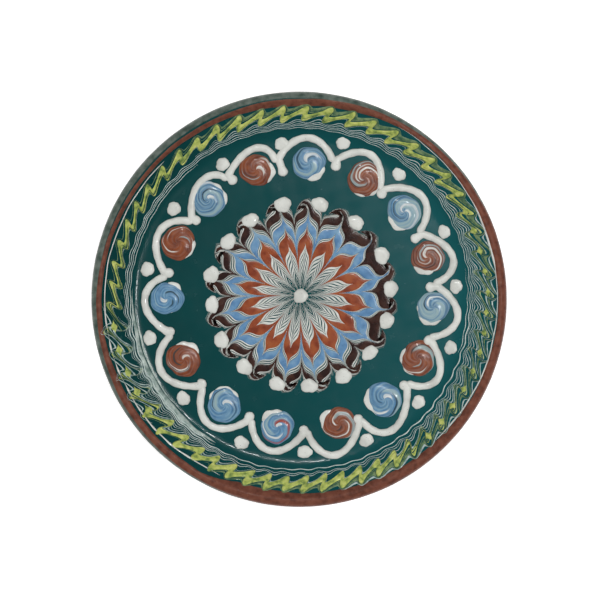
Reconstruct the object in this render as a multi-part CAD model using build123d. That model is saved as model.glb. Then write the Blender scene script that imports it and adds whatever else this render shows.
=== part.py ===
"""A slip-trailed earthenware plate, built up the way the potter builds it.

The thrown clay dish carries thin coats of coloured slip, and on those lie the trailed
deposits: fine border lines, a yellow wave, scallops, swirled bosses, dots and a feathered
rosette. Every coat and every deposit is its own solid, bonded face to face with what it
lies on. Millimetres, +Z up, origin on the foot's rest plane under the dish's axis.
"""

import math
import os

from build123d import *

# Dish
PLATE_RADIUS = 105.0
COAT = 0.4  # thickness of the slip coats
WALL = 6.0
WELL_RADIUS = 80.0  # flat floor, out to the bend
FLOOR_Z = 10.0  # clay floor inside the well
BEND_RADIUS = 12.0
FLANGE_SLOPE = 38.0
FOOT_OUTER = 60.0
FOOT_WIDTH = 5.5
FOOT_TAPER = 1.0
FOOT_ROUND = 0.8

# Coats over the lip
BROWN_BAND_START = 98.6
BROWN_BAND_END_ANGLE = 25.0  # on the lip's circle, above the horizontal
OUTER_COAT_END = 95.0  # radius where the coat on the outside stops

# The decoration was trailed slightly off the dish's axis
PATTERN_X = 0.8
PATTERN_Y = 1.6

# Border on the flange
BORDER_COAT = 0.4
WAVE_COUNT = 57
WAVE_RADIUS = 93.4
WAVE_SWING = 1.9
WAVE_WIDTH = 3.0
FINE_LINE_RADII = (86.8, 87.7, 88.6, 89.5)
FINE_LINE_WIDTH = 0.4
OUTER_LINE_RADIUS = 97.4
OUTER_LINE_WIDTH = 0.9

# Ring of bosses under scallops. Angles are in degrees about the pattern's centre
BOSS_RING_RADIUS = 67.8
BOSS_ANGLES = (17, 39, 61.5, 86.5, 109.5, 133.5, 156.5, 181, 208.5, 235, 260, 287, 309, 332, 355)
BOSS_SIZES = (8.3, 8.7, 8.7, 8.3, 8.2, 8.8, 8.6, 8.3, 8.6, 8.7, 8.4, 8.5, 8.9, 8.8, 8.2)
BOSS_HEIGHT = 1.3
VALLEY_ANGLES = (5.5, 28, 52.5, 75, 99, 120.5, 144.5, 170.5, 196, 223, 248.5, 273.5, 297, 321, 342.5)
VALLEY_RADIUS = 70.0
TAIL_RADIUS = 64.5
SCALLOP_PEAK_RADIUS = 79.6
STROKE_RADIUS = 1.9
STROKE_SUNK = 0.6  # how far the stroke's round section is centred under the surface
TAIL_BLOB_RADIUS = 2.4
# Angle and distance of each border dot from the pattern's middle, uneven because each was dropped by hand
BORDER_DOT_PLACES = (
    (3.5, 79.5), (24, 80), (51, 79.5), (74.5, 80.5), (97, 78), (120.5, 77.5), (145.5, 78), (170, 79),
    (195.5, 79.5), (221, 79), (248, 80.5), (271.5, 79.5), (294.5, 81), (318, 81), (341, 81),
)
BORDER_DOT_RADIUS = 3.5
DOT_HEIGHT = 1.3

# Rosette
ROSETTE_THICKNESS = 0.5
PETALS = 16
NOTCH_START = 7.5  # angle of the first stroke drawn inwards
TIP_START = 15.5  # angle of the first stroke drawn outwards
RING_STEPS = {
    "rosette_white_slip": (17.0, 27.5),
    "rosette_rust_slip": (25.0, 36.0),
    "rosette_blue_slip": (31.5, 42.5),
}
RING_BULGE = 1.2
BROWN_NOTCH_RADIUS = 42.0
BROWN_LOBE_RADIUS = 48.6
FRINGE_WIDTH = 1.0
ROSETTE_DOT_RING_RADIUS = 46.6
ROSETTE_DOT_LEAD = 0.5  # degrees from the notch to its dot
ROSETTE_DOT_RADIUS = 3.3
CENTRE_DOT_RADIUS = 3.7
CENTRE_DOT_HEIGHT = 1.2

# Worked out from the above
LIP_RADIUS = WALL / 2
SLOPE_SIN = math.sin(math.radians(FLANGE_SLOPE))
SLOPE_COS = math.cos(math.radians(FLANGE_SLOPE))
BEND_CENTRE_Z = FLOOR_Z + BEND_RADIUS
LIP_CENTRE_R = PLATE_RADIUS - COAT - LIP_RADIUS
FLANGE_START = (
    WELL_RADIUS + BEND_RADIUS * SLOPE_SIN,
    BEND_CENTRE_Z - BEND_RADIUS * SLOPE_COS,
)
FLANGE_END_R = LIP_CENTRE_R - LIP_RADIUS * SLOPE_SIN
FLANGE_END_Z = FLANGE_START[1] + (FLANGE_END_R - FLANGE_START[0]) * SLOPE_SIN / SLOPE_COS
LIP_CENTRE_Z = FLANGE_END_Z - LIP_RADIUS * SLOPE_COS
UNDERSIDE_Z = FLOOR_Z - WALL
SURFACE_Z = FLOOR_Z + COAT
PATTERN = Pos(PATTERN_X, PATTERN_Y, 0)
FAR = 60.0  # reach of the zones that cut the coats
DEEP = 2.0  # how far a deposit is sunk before the surface trims it


def polar(radius, angle, z=0.0):
    """A point at a radius and an angle in degrees."""
    turn = math.radians(angle)
    return Vector(radius * math.cos(turn), radius * math.sin(turn), z)


def revolved(face):
    """The solid of revolution of a face drawn as (radius, height)."""
    return revolve(Plane.XZ * face, Axis.Z)


def zone(*points):
    """A polygon of (radius, height) points."""
    return make_face(Polyline(*points, close=True))


def dish_profile():
    """The clay dish's half section."""
    foot_inner = FOOT_OUTER - FOOT_WIDTH
    wall_end = (
        WELL_RADIUS + (BEND_RADIUS + WALL) * SLOPE_SIN,
        BEND_CENTRE_Z - (BEND_RADIUS + WALL) * SLOPE_COS,
    )
    lip_under = (
        LIP_CENTRE_R + LIP_RADIUS * SLOPE_SIN,
        LIP_CENTRE_Z - LIP_RADIUS * SLOPE_COS,
    )
    edges = [
        Line((0, UNDERSIDE_Z), (foot_inner - FOOT_TAPER, UNDERSIDE_Z)),
        Line((foot_inner - FOOT_TAPER, UNDERSIDE_Z), (foot_inner, FOOT_ROUND)),
        Line((foot_inner, FOOT_ROUND), (foot_inner + FOOT_ROUND, 0)),
        Line((foot_inner + FOOT_ROUND, 0), (FOOT_OUTER - FOOT_ROUND, 0)),
        Line((FOOT_OUTER - FOOT_ROUND, 0), (FOOT_OUTER, FOOT_ROUND)),
        Line((FOOT_OUTER, FOOT_ROUND), (FOOT_OUTER + FOOT_TAPER, UNDERSIDE_Z)),
        Line((FOOT_OUTER + FOOT_TAPER, UNDERSIDE_Z), (WELL_RADIUS, UNDERSIDE_Z)),
        CenterArc((WELL_RADIUS, BEND_CENTRE_Z), BEND_RADIUS + WALL, -90, FLANGE_SLOPE),
        Line(wall_end, lip_under),
        CenterArc((LIP_CENTRE_R, LIP_CENTRE_Z), LIP_RADIUS, FLANGE_SLOPE - 90, 180),
        Line((FLANGE_END_R, FLANGE_END_Z), FLANGE_START),
        CenterArc((WELL_RADIUS, BEND_CENTRE_Z), BEND_RADIUS, FLANGE_SLOPE - 90, -FLANGE_SLOPE),
        Line((WELL_RADIUS, FLOOR_Z), (0, FLOOR_Z)),
        Line((0, FLOOR_Z), (0, UNDERSIDE_Z)),
    ]
    return make_face(Wire(edges))


def grown(profile, amount):
    """A half section made thicker all round, and kept on its side of the axis."""
    return offset(profile, amount, kind=Kind.ARC) & zone((0, -FAR), (4 * FAR, -FAR), (4 * FAR, FAR), (0, FAR))


def middle_of_wall():
    """Points along the middle of the wall, from the axis to the lip's centre."""
    middle = BEND_RADIUS + WALL / 2
    return [
        (0, FLOOR_Z - WALL / 2),
        (WELL_RADIUS, FLOOR_Z - WALL / 2),
        (WELL_RADIUS + middle * SLOPE_SIN, BEND_CENTRE_Z - middle * SLOPE_COS),
        (LIP_CENTRE_R, LIP_CENTRE_Z),
    ]


def coat_zones():
    """Where each coat lies: inside the dish, over the lip and down the outside."""
    middle = middle_of_wall()
    lip = middle[-1]
    rise = LIP_RADIUS / SLOPE_COS
    band_z = LIP_CENTRE_Z + rise + (BROWN_BAND_START - LIP_CENTRE_R) * SLOPE_SIN / SLOPE_COS
    start = Vector(BROWN_BAND_START - lip[0], band_z - lip[1]).normalized() * FAR
    end = polar(FAR, BROWN_BAND_END_ANGLE)
    inner_edge = (lip[0] + start.X, lip[1] + start.Y)
    outer_edge = (lip[0] + end.X, lip[1] + end.Y)
    stop = OUTER_COAT_END
    stop_z = lip[1] - (lip[0] - stop) * SLOPE_SIN / SLOPE_COS
    below = (stop + FAR * SLOPE_SIN, stop_z - FAR * SLOPE_COS)
    return {
        "green_slip_coat": zone(*middle, inner_edge, (0, FAR + FLOOR_Z)),
        "brown_rim_band": zone(lip, inner_edge, (lip[0], lip[1] + FAR), outer_edge),
        "outer_green_coat": zone(lip, outer_edge, below, (stop, stop_z)),
    }


def coats(profile):
    """The three slip coats as shells on the dish."""
    layer = grown(profile, COAT) - profile
    return {name: revolved(layer & where) for name, where in coat_zones().items()}


def flange_ring(skin, inner, outer):
    """A thin ring on the flange between two radii about the dish's axis."""
    return revolved(skin & zone((inner, FLOOR_Z), (outer, FLOOR_Z), (outer, FAR), (inner, FAR)))


def border_skin(profile):
    """The half section of a thin layer over the inside coat."""
    inside = coat_zones()["green_slip_coat"]
    return (grown(profile, COAT + BORDER_COAT) - grown(profile, COAT)) & inside


def wave_outline(radius):
    """A closed outline that swings in and out WAVE_COUNT times about a radius."""
    half = 180 / WAVE_COUNT
    corners = [
        polar(radius + (WAVE_SWING if k % 2 else -WAVE_SWING), k * half)
        for k in range(2 * WAVE_COUNT + 1)
    ]
    return make_face(Polyline(*corners[:-1], close=True))


def border_nodes(profile):
    """The trailed lines on the flange."""
    skin = border_skin(profile)
    ribbon = wave_outline(WAVE_RADIUS + WAVE_WIDTH / 2) - wave_outline(WAVE_RADIUS - WAVE_WIDTH / 2)
    reach = WAVE_SWING + WAVE_WIDTH
    band = flange_ring(skin, WAVE_RADIUS - reach, WAVE_RADIUS + reach)
    fine = [
        flange_ring(skin, r - FINE_LINE_WIDTH / 2, r + FINE_LINE_WIDTH / 2) for r in FINE_LINE_RADII
    ]
    half = OUTER_LINE_WIDTH / 2
    return {
        "border_yellow_wave": band & extrude(ribbon, FAR),
        "border_white_lines": Compound(children=fine),
        "border_outer_line": flange_ring(skin, OUTER_LINE_RADIUS - half, OUTER_LINE_RADIUS + half),
    }


def dome(radius, height, depth=0.0):
    """A low round blob with its rim at z = 0, and a plug below it that the surface trims."""
    edges = [
        Line((0, -depth), (0, height)),
        RadiusArc((0, height), (radius, 0), (radius**2 + height**2) / (2 * height)),
    ]
    if depth:
        edges += [Line((radius, 0), (radius, -depth)), Line((radius, -depth), (0, -depth))]
    else:
        edges += [Line((radius, 0), (0, 0))]
    return revolved(make_face(Wire(edges)))


def scallop(index):
    """One trailed stroke: up over a boss, down to the next valley and inwards into a tail."""
    start_angle = VALLEY_ANGLES[index]
    end_angle = VALLEY_ANGLES[(index + 1) % len(VALLEY_ANGLES)]
    span = (end_angle - start_angle) % 360
    level = SURFACE_Z - STROKE_SUNK
    start = polar(VALLEY_RADIUS, start_angle, level)
    top = polar(SCALLOP_PEAK_RADIUS, start_angle + span / 2, level)
    end = polar(VALLEY_RADIUS, start_angle + span, level)
    tail = polar(TAIL_RADIUS, start_angle + span, level)
    hump = ThreePointArc(start, top, end)
    drop = Line(end, tail)
    section = Plane(origin=start, z_dir=hump % 0) * Circle(STROKE_RADIUS)
    stroke = sweep(section, hump) + Pos(*start) * Sphere(STROKE_RADIUS)
    tail_section = Plane(origin=end, z_dir=drop % 0) * Circle(STROKE_RADIUS)
    stroke += sweep(tail_section, drop) + Pos(*end) * Sphere(STROKE_RADIUS)
    return PATTERN * (stroke + Pos(*tail) * Sphere(TAIL_BLOB_RADIUS))


def surface_at(radius):
    """Height and slope of the coated surface inside the dish, at a radius."""
    if radius <= WELL_RADIUS:
        return SURFACE_Z, 0.0
    reach = BEND_RADIUS - COAT
    lean = math.asin(min((radius - WELL_RADIUS) / reach, SLOPE_SIN))
    return BEND_CENTRE_Z - reach * math.cos(lean), math.degrees(lean)


def on_surface(shape, ring_radius, angle):
    """Puts a shape drawn at z = 0 on the dish, leaning with the surface there."""
    place = polar(ring_radius, angle)
    x, y = PATTERN_X + place.X, PATTERN_Y + place.Y
    z, lean = surface_at(math.hypot(x, y))
    heading = math.degrees(math.atan2(y, x))
    return Pos(x, y, z) * Rot(0, 0, heading) * Rot(0, -lean, 0) * shape


def named(stem, solids):
    """Numbered node names for a list of solids."""
    return {f"{stem}_{k + 1:02d}": solid for k, solid in enumerate(solids)}


def ring_nodes(ground):
    """Scallops, bosses and border dots, each trimmed by the surface and by what was laid before."""
    strokes = [scallop(k) for k in range(len(VALLEY_ANGLES))]
    laid = []
    for k, stroke in enumerate(strokes):
        before = [strokes[k - 1]] if k else []
        if k == len(strokes) - 1:
            before.append(strokes[0])
        trimmed = stroke - ground
        for other in before:
            trimmed = trimmed - other
        laid.append(trimmed)
    bosses = []
    for k, (angle, size) in enumerate(zip(BOSS_ANGLES, BOSS_SIZES)):
        boss = on_surface(dome(size, BOSS_HEIGHT), BOSS_RING_RADIUS, angle)
        for other in (strokes[k], strokes[k - 1]):
            boss = boss - other
        bosses.append(boss)
    dots = []
    for k, (angle, distance) in enumerate(BORDER_DOT_PLACES):
        dot = on_surface(dome(BORDER_DOT_RADIUS, DOT_HEIGHT, DEEP), distance, angle)
        for other in (ground, strokes[k], strokes[k - 1]):
            dot = dot - other
        dots.append(dot)
    return {**named("scallop", laid), **named("boss", bosses), **named("border_dot", dots)}


def star(notch_radius, tip_radius, bulge):
    """An outline with a point drawn in at every notch and one drawn out at every tip."""
    step = 360 / PETALS
    edges = []
    for k in range(PETALS):
        notch = polar(notch_radius, NOTCH_START + k * step)
        tip = polar(tip_radius, TIP_START + k * step)
        following = polar(notch_radius, NOTCH_START + (k + 1) * step)
        for a, b in ((notch, tip), (tip, following)):
            middle = (a + b) / 2
            edges.append(ThreePointArc(a, middle + middle.normalized() * bulge, b))
    return make_face(Wire(edges))


def slab(face):
    """A face of the rosette given its thickness, on the well's floor."""
    return PATTERN * Pos(0, 0, SURFACE_Z) * extrude(face, ROSETTE_THICKNESS)


def rosette_nodes():
    """Rings of coloured slip drawn into petals, with a dot at every notch and one in the middle."""
    step = 360 / PETALS
    dot_angles = [NOTCH_START + ROSETTE_DOT_LEAD + k * step for k in range(PETALS)]
    dot = Pos(0, 0, SURFACE_Z) * dome(ROSETTE_DOT_RADIUS, DOT_HEIGHT)
    dots = [PATTERN * Pos(*polar(ROSETTE_DOT_RING_RADIUS, a)) * dot for a in dot_angles]
    centre = PATTERN * Pos(0, 0, SURFACE_Z) * dome(CENTRE_DOT_RADIUS, CENTRE_DOT_HEIGHT)
    outlines = {name: star(*radii, RING_BULGE) for name, radii in RING_STEPS.items()}
    outlines["rosette_brown_slip"] = star(BROWN_NOTCH_RADIUS, BROWN_LOBE_RADIUS, 2 * RING_BULGE)
    outlines["rosette_fringe"] = offset(outlines["rosette_brown_slip"], FRINGE_WIDTH, kind=Kind.ARC)
    nodes, inner = {}, None
    for name, outline in outlines.items():
        solid = slab(outline if inner is None else outline - inner)
        for other in [centre] if inner is None else dots:
            solid = solid - other
        nodes[name] = solid
        inner = outline
    nodes["rosette_dots"] = Compound(children=dots)
    nodes["rosette_centre_dot"] = centre
    return nodes


def main():
    profile = dish_profile()
    ground = revolved(grown(profile, COAT))
    nodes = {"clay_dish": revolved(profile)}
    nodes.update(coats(profile))
    nodes.update(border_nodes(profile))
    nodes.update(ring_nodes(ground))
    nodes.update(rosette_nodes())
    os.makedirs("parts", exist_ok=True)
    for name, shape in nodes.items():
        export_step(shape, f"parts/{name}.step")


main()
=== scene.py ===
"""The looks of a slip-trailed earthenware plate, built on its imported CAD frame.

The rosette is made as the potter makes it: rings are trailed first, and then a tine's strokes
move the rings' own points. The border's lines are bent into leaning waves by one formula, and
its yellow blobs are laid by themselves. So the colour borders in both are geometry. The bosses
are domes, and their swirls are colours on the mesh's points. Lengths are in millimetres and
angles in degrees, counter-clockwise from +X, until a mesh is made in metres.
"""

import math

import bpy
import numpy as np
from mathutils import Matrix, Vector


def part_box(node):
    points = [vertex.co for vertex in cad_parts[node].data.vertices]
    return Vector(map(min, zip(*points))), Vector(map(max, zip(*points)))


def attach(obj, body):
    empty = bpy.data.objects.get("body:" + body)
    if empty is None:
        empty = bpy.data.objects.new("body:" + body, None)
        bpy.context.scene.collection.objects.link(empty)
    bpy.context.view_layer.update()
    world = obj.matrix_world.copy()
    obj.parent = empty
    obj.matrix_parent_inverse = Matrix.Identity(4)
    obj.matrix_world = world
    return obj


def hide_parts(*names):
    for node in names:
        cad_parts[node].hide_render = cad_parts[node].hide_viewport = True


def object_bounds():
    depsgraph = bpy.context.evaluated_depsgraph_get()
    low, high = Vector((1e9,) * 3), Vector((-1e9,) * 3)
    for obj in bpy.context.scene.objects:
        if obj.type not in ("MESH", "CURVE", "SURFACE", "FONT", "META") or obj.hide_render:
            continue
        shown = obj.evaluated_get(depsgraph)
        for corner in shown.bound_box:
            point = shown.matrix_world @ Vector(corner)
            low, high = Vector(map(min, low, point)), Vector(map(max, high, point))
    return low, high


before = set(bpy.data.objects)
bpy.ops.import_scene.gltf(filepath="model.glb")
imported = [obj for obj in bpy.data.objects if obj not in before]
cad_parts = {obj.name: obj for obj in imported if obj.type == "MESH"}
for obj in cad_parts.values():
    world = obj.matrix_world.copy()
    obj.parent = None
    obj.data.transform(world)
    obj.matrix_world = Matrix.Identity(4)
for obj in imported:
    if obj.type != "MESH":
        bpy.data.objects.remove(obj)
cad_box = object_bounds()
MM = 0.001
TURN = 360.0


# ---- the dish's surface

RADIUS = cad_box[1].x / MM
RIM_TOP = cad_box[1].z / MM
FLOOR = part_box("rosette_rust_slip")[0].z / MM  # top of the coat inside the well
WELL_RADIUS = 80.0
BEND_RADIUS = 11.6
SLOPE = math.radians(38.0)
COAT = 0.4
LIP = 3.4  # radius of the coated lip
LIP_R = RADIUS - LIP
LIP_Z = RIM_TOP - LIP
WALL = 6.8  # wall with a coat on both sides
COAT_END = 95.0  # where the outside coat stops on the underside
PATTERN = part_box("rosette_centre_dot")
PATTERN_X = (PATTERN[0].x + PATTERN[1].x) / 2 / MM
PATTERN_Y = (PATTERN[0].y + PATTERN[1].y) / 2 / MM


def skin_curve():
    """The coated surface's half section as (radius, height), from the axis over the lip and down outside."""
    lean = np.linspace(0, SLOPE, 16)
    bend_r = WELL_RADIUS + BEND_RADIUS * np.sin(lean)
    bend_z = FLOOR + BEND_RADIUS * (1 - np.cos(lean))
    round_lip = np.linspace(math.pi / 2 + SLOPE, SLOPE - math.pi / 2, 48)
    lip_r = LIP_R + LIP * np.cos(round_lip)
    lip_z = LIP_Z + LIP * np.sin(round_lip)
    end_z = lip_z[-1] - (lip_r[-1] - COAT_END) * math.tan(SLOPE)
    r = np.concatenate([[0.0, 40.0], bend_r, lip_r, [COAT_END]])
    z = np.concatenate([[FLOOR, FLOOR], bend_z, lip_z, [end_z]])
    return r, z


SKIN_R, SKIN_Z = skin_curve()
SKIN_T = np.concatenate([[0.0], np.cumsum(np.hypot(np.diff(SKIN_R), np.diff(SKIN_Z)))])
LIP_EDGE = int(np.argmax(SKIN_R))  # the skin's widest point
STEP = 0.05  # the skin's slope at a point is taken over this much to each side


def along(radius):
    """Distance along the skin at a radius inside the lip's edge."""
    return np.interp(radius, SKIN_R[: LIP_EDGE + 1], SKIN_T[: LIP_EDGE + 1])


def unevenness(x, y):
    """The hand-made surface's slow swells, in millimetres."""
    swell = np.sin(0.21 * x + 0.7) * np.sin(0.17 * y + 2.1)
    ripple = np.sin(0.47 * x - 0.31 * y) * np.sin(0.29 * x + 0.53 * y + 1.3)
    return 0.035 * swell + 0.02 * ripple


def on_skin(angle, t, height):
    """Points at an angle and a distance along the skin, raised above it by a height."""
    r = np.interp(t, SKIN_T, SKIN_R)
    z = np.interp(t, SKIN_T, SKIN_Z)
    dr = np.interp(t + STEP, SKIN_T, SKIN_R) - np.interp(t - STEP, SKIN_T, SKIN_R)
    dz = np.interp(t + STEP, SKIN_T, SKIN_Z) - np.interp(t - STEP, SKIN_T, SKIN_Z)
    size = np.hypot(dr, dz) + 1e-9
    turn = np.radians(angle)
    lift = height + unevenness(r * np.cos(turn), r * np.sin(turn))
    out = r - dz / size * lift
    return np.stack([out * np.cos(turn), out * np.sin(turn), z + dr / size * lift], -1)


def drape(x, y, height):
    """Points over (x, y) inside the dish, raised straight up from the skin by a height."""
    r = np.hypot(x, y)
    z = np.interp(r, SKIN_R[: LIP_EDGE + 1], SKIN_Z[: LIP_EDGE + 1])
    return np.stack([x, y, z + height + unevenness(x, y)], -1)


# ---- meshes


def piece(name, points, faces, material, *nodes):
    """A smooth mesh that rides on the dish and stands for CAD nodes."""
    mesh = bpy.data.meshes.new(name)
    mesh.from_pydata((points * MM).tolist(), [], faces)
    mesh.polygons.foreach_set("use_smooth", [True] * len(mesh.polygons))
    mesh.materials.append(material)
    made = bpy.data.objects.new(name, mesh)
    bpy.context.scene.collection.objects.link(made)
    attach(made, "root")
    if nodes:
        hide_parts(*nodes)
    return made


def quads(a, b, c, d):
    """Faces from four arrays of vertex numbers."""
    return np.stack([a, b, c, d], -1).reshape(-1, 4).tolist()


def ringed(rows):
    """Rows of vertex numbers with their first column again at the end."""
    return np.concatenate([rows, rows[:, :1]], 1)


def fan(tip, ring, flip=False):
    """Triangles from a tip to a closed ring of vertex numbers."""
    pairs = zip(ring[:-1].tolist(), ring[1:].tolist())
    return [[tip, b, a] if flip else [tip, a, b] for a, b in pairs]


def slab_parts(top, base, wrap):
    """Points and faces of a closed strip.

    top is rows by columns of points, and base is its two border rows below.
    """
    rows, columns = top.shape[:2]
    number = np.arange(rows * columns).reshape(rows, columns)
    under = rows * columns + np.arange(2 * columns).reshape(2, columns)
    if wrap:
        number, under = ringed(number), ringed(under)
    a, b, c, d = number[:-1, :-1], number[1:, :-1], number[1:, 1:], number[:-1, 1:]
    faces = quads(a, b, c, d)
    faces += quads(number[0, :-1], number[0, 1:], under[0, 1:], under[0, :-1])
    faces += quads(number[-1, 1:], number[-1, :-1], under[1, :-1], under[1, 1:])
    faces += quads(under[0, :-1], under[0, 1:], under[1, 1:], under[1, :-1])
    if not wrap:
        faces.append([*number[::-1, 0].tolist(), int(under[0, 0]), int(under[1, 0])])
        faces.append([*number[:, -1].tolist(), int(under[1, -1]), int(under[0, -1])])
    return np.concatenate([top.reshape(-1, 3), base.reshape(-1, 3)]), faces


def joined_piece(name, parts, material, *nodes):
    """One piece of several closed meshes, each its points and faces."""
    points, faces, count = [], [], 0
    for more, made in parts:
        points.append(more)
        faces += [[i + count for i in face] for face in made]
        count += len(more)
    return piece(name, np.concatenate(points), faces, material, *nodes)


def strips_piece(name, strips, material, *nodes):
    """One piece of several closed strips, each (top, base, wrap)."""
    return joined_piece(name, [slab_parts(*strip) for strip in strips], material, *nodes)


DOME_DEPTH = 0.3  # how far a blob reaches under the skin


def dome_parts(x, y, height):
    """Points and faces of a closed blob. x and y are rings by columns, from the middle outwards."""
    rings, columns = x.shape
    top = drape(x, y, height)
    low = drape(x[-1], y[-1], np.full(columns, -DOME_DEPTH))
    middle = drape(x[0].mean(), y[0].mean(), height[0].mean())
    bottom = drape(x[0].mean(), y[0].mean(), -DOME_DEPTH)
    points = np.concatenate([top.reshape(-1, 3), low, middle[None], bottom[None]])
    number = ringed(np.arange(rings * columns).reshape(rings, columns))
    under = rings * columns + np.append(np.arange(columns), 0)
    faces = quads(number[:-1, :-1], number[1:, :-1], number[1:, 1:], number[:-1, 1:])
    faces += quads(number[-1, 1:], number[-1, :-1], under[:-1], under[1:])
    peak = rings * columns + columns
    return points, faces + fan(peak, number[0]) + fan(peak + 1, under, flip=True)


# ---- materials


def new_material(name, slot):
    material = bpy.data.materials.new(name)
    material["slot"] = slot
    material.use_nodes = True
    return material, material.node_tree.nodes, material.node_tree.links


def set_inputs(node, values):
    """Sets a node's own sockets."""
    for socket, value in values.items():
        node.inputs[socket].default_value = value


def noise(nodes, links, scale, detail=4.0):
    """A noise texture in the piece's own place. Scale is per metre."""
    place = nodes.new("ShaderNodeTexCoord").outputs["Object"]
    texture = nodes.new("ShaderNodeTexNoise")
    set_inputs(texture, {"Scale": scale, "Detail": detail})
    links.new(place, texture.inputs["Vector"])
    return texture.outputs["Fac"]


def add_relief(nodes, links, strength, distance, height):
    """A fine relief on the shader's normal."""
    relief = nodes.new("ShaderNodeBump")
    set_inputs(relief, {"Strength": strength, "Distance": distance})
    links.new(height, relief.inputs["Height"])
    links.new(relief.outputs["Normal"], nodes["Principled BSDF"].inputs["Normal"])


def ramp(nodes, links, value, stops):
    """A colour ramp over a value."""
    made = nodes.new("ShaderNodeValToRGB")
    links.new(value, made.inputs["Fac"])
    elements = made.color_ramp.elements
    while len(elements) < len(stops):
        elements.new(0.5)
    for element, (at, colour) in zip(elements, stops):
        element.position = at
        element.color = (*colour, 1.0)
    return made.outputs["Color"]


def grey(value):
    return (value, value, value)


def mixed(nodes, links, share, a, b):
    """Colour a where share is 0 and b where it is 1. Each is a colour or a socket."""
    mix = nodes.new("ShaderNodeMix")
    mix.data_type = "RGBA"
    links.new(share, mix.inputs["Factor"])
    for socket, value in ((mix.inputs["A"], a), (mix.inputs["B"], b)):
        if isinstance(value, bpy.types.NodeSocket):
            links.new(value, socket)
        else:
            socket.default_value = (*value, 1.0)
    return mix.outputs["Result"]


GLOSS_SCALE = 140.0
PEEL_SCALE = 900.0
PEEL_DEPTH = 0.0004
GLAZE_IOR = 1.45
COAT_ROUGHNESS = 0.06


def finish_glaze(nodes, links, colour, roughness=(0.18, 0.28), bump=0.08, clear=0.6, shine=0.5):
    """Sets a glossy glaze's colour, its uneven gloss and its fine orange-peel relief."""
    smooth, rough = roughness
    shader = nodes["Principled BSDF"]
    links.new(colour, shader.inputs["Base Color"])
    gloss = ramp(nodes, links, noise(nodes, links, GLOSS_SCALE), [(0.3, grey(smooth)), (0.7, grey(rough))])
    links.new(gloss, shader.inputs["Roughness"])
    add_relief(nodes, links, bump, PEEL_DEPTH, noise(nodes, links, PEEL_SCALE, 3.0))
    set_inputs(shader, {"IOR": GLAZE_IOR, "Specular IOR Level": shine})
    set_inputs(shader, {"Coat Weight": clear, "Coat Roughness": COAT_ROUGHNESS})


def glazed_slip(name, slot, deep, main, light, cloud=220.0, **gloss):
    """A glazed slip whose colour clouds from deep to light, with small dark specks."""
    material, nodes, links = new_material(name, slot)
    body = ramp(nodes, links, noise(nodes, links, cloud, 6.0), [(0.34, deep), (0.5, main), (0.68, light)])
    specks = ramp(nodes, links, noise(nodes, links, 1700.0, 2.0), [(0.26, grey(1.0)), (0.31, grey(0.0))])
    finish_glaze(nodes, links, mixed(nodes, links, specks, body, tuple(0.45 * c for c in deep)), **gloss)
    return material


WHITE = glazed_slip(
    "white_slip", "white_slip", (0.55, 0.555, 0.52), (0.65, 0.66, 0.62), (0.70, 0.71, 0.67), 120.0,
)
RUST = glazed_slip("rust_slip", "rust_slip", (0.18, 0.038, 0.018), (0.27, 0.066, 0.029), (0.32, 0.092, 0.034))
BLUE = glazed_slip("blue_slip", "blue_slip", (0.085, 0.19, 0.35), (0.125, 0.26, 0.44), (0.20, 0.34, 0.47))
BROWN = glazed_slip(
    "dark_slip", "dark_slip", (0.020, 0.010, 0.009), (0.036, 0.016, 0.013), (0.060, 0.026, 0.018),
)
YELLOW = glazed_slip(
    "yellow_slip", "yellow_slip", (0.15, 0.23, 0.07), (0.42, 0.49, 0.12), (0.60, 0.62, 0.20), 360.0,
)
# dull green slip for the flange's dull lines, one of which is also painted shade along the wave crests
DULL_SLIP_AND_SHADE = glazed_slip(
    "dull_green_slip_and_crest_shade", "yellow_slip", (0.05, 0.12, 0.07), (0.12, 0.20, 0.10), (0.22, 0.30, 0.15), 420.0,
)
PALE = glazed_slip(
    "pale_green_slip", "white_slip", (0.19, 0.30, 0.29), (0.36, 0.47, 0.45), (0.52, 0.61, 0.57), 420.0,
)
FINE = glazed_slip(
    "fine_white_slip", "white_slip", (0.34, 0.44, 0.42), (0.52, 0.61, 0.58), (0.64, 0.70, 0.67), 420.0,
)
HAZE = glazed_slip(
    "grey_green_slip", "white_slip", (0.11, 0.17, 0.16), (0.21, 0.27, 0.25), (0.33, 0.39, 0.37), 420.0,
)
WASHED = glazed_slip(
    "washed_white_slip", "white_slip", (0.14, 0.21, 0.19), (0.33, 0.40, 0.37), (0.50, 0.57, 0.53), 300.0,
)


def green_ground():
    """The green ground slip, painted lighter towards +X as a reflection of the broad glossy haze on that
    side, with faint clouds in it.
    """
    material, nodes, links = new_material("green_slip", "green_slip")
    place = nodes.new("ShaderNodeSeparateXYZ")
    links.new(nodes.new("ShaderNodeTexCoord").outputs["Object"], place.inputs["Vector"])
    across = nodes.new("ShaderNodeMapRange")
    set_inputs(across, {"From Min": -RADIUS * MM, "From Max": RADIUS * MM})
    links.new(place.outputs["X"], across.inputs["Value"])
    # painted reflection: this ramp makes the ground lighter towards +X, standing in for the glossy haze of
    # the lamps on that side
    painted_haze = ramp(
        nodes, links, across.outputs["Result"],
        [(0.1, (0.0030, 0.040, 0.040)), (0.5, (0.0045, 0.058, 0.062)), (0.9, (0.0085, 0.086, 0.094))],
    )
    cloud = ramp(nodes, links, noise(nodes, links, 45.0, 6.0), [(0.35, grey(0.0)), (0.65, grey(0.35))])
    finish_glaze(nodes, links, mixed(nodes, links, cloud, painted_haze, (0.0050, 0.062, 0.064)), bump=0.04)
    return material


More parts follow.
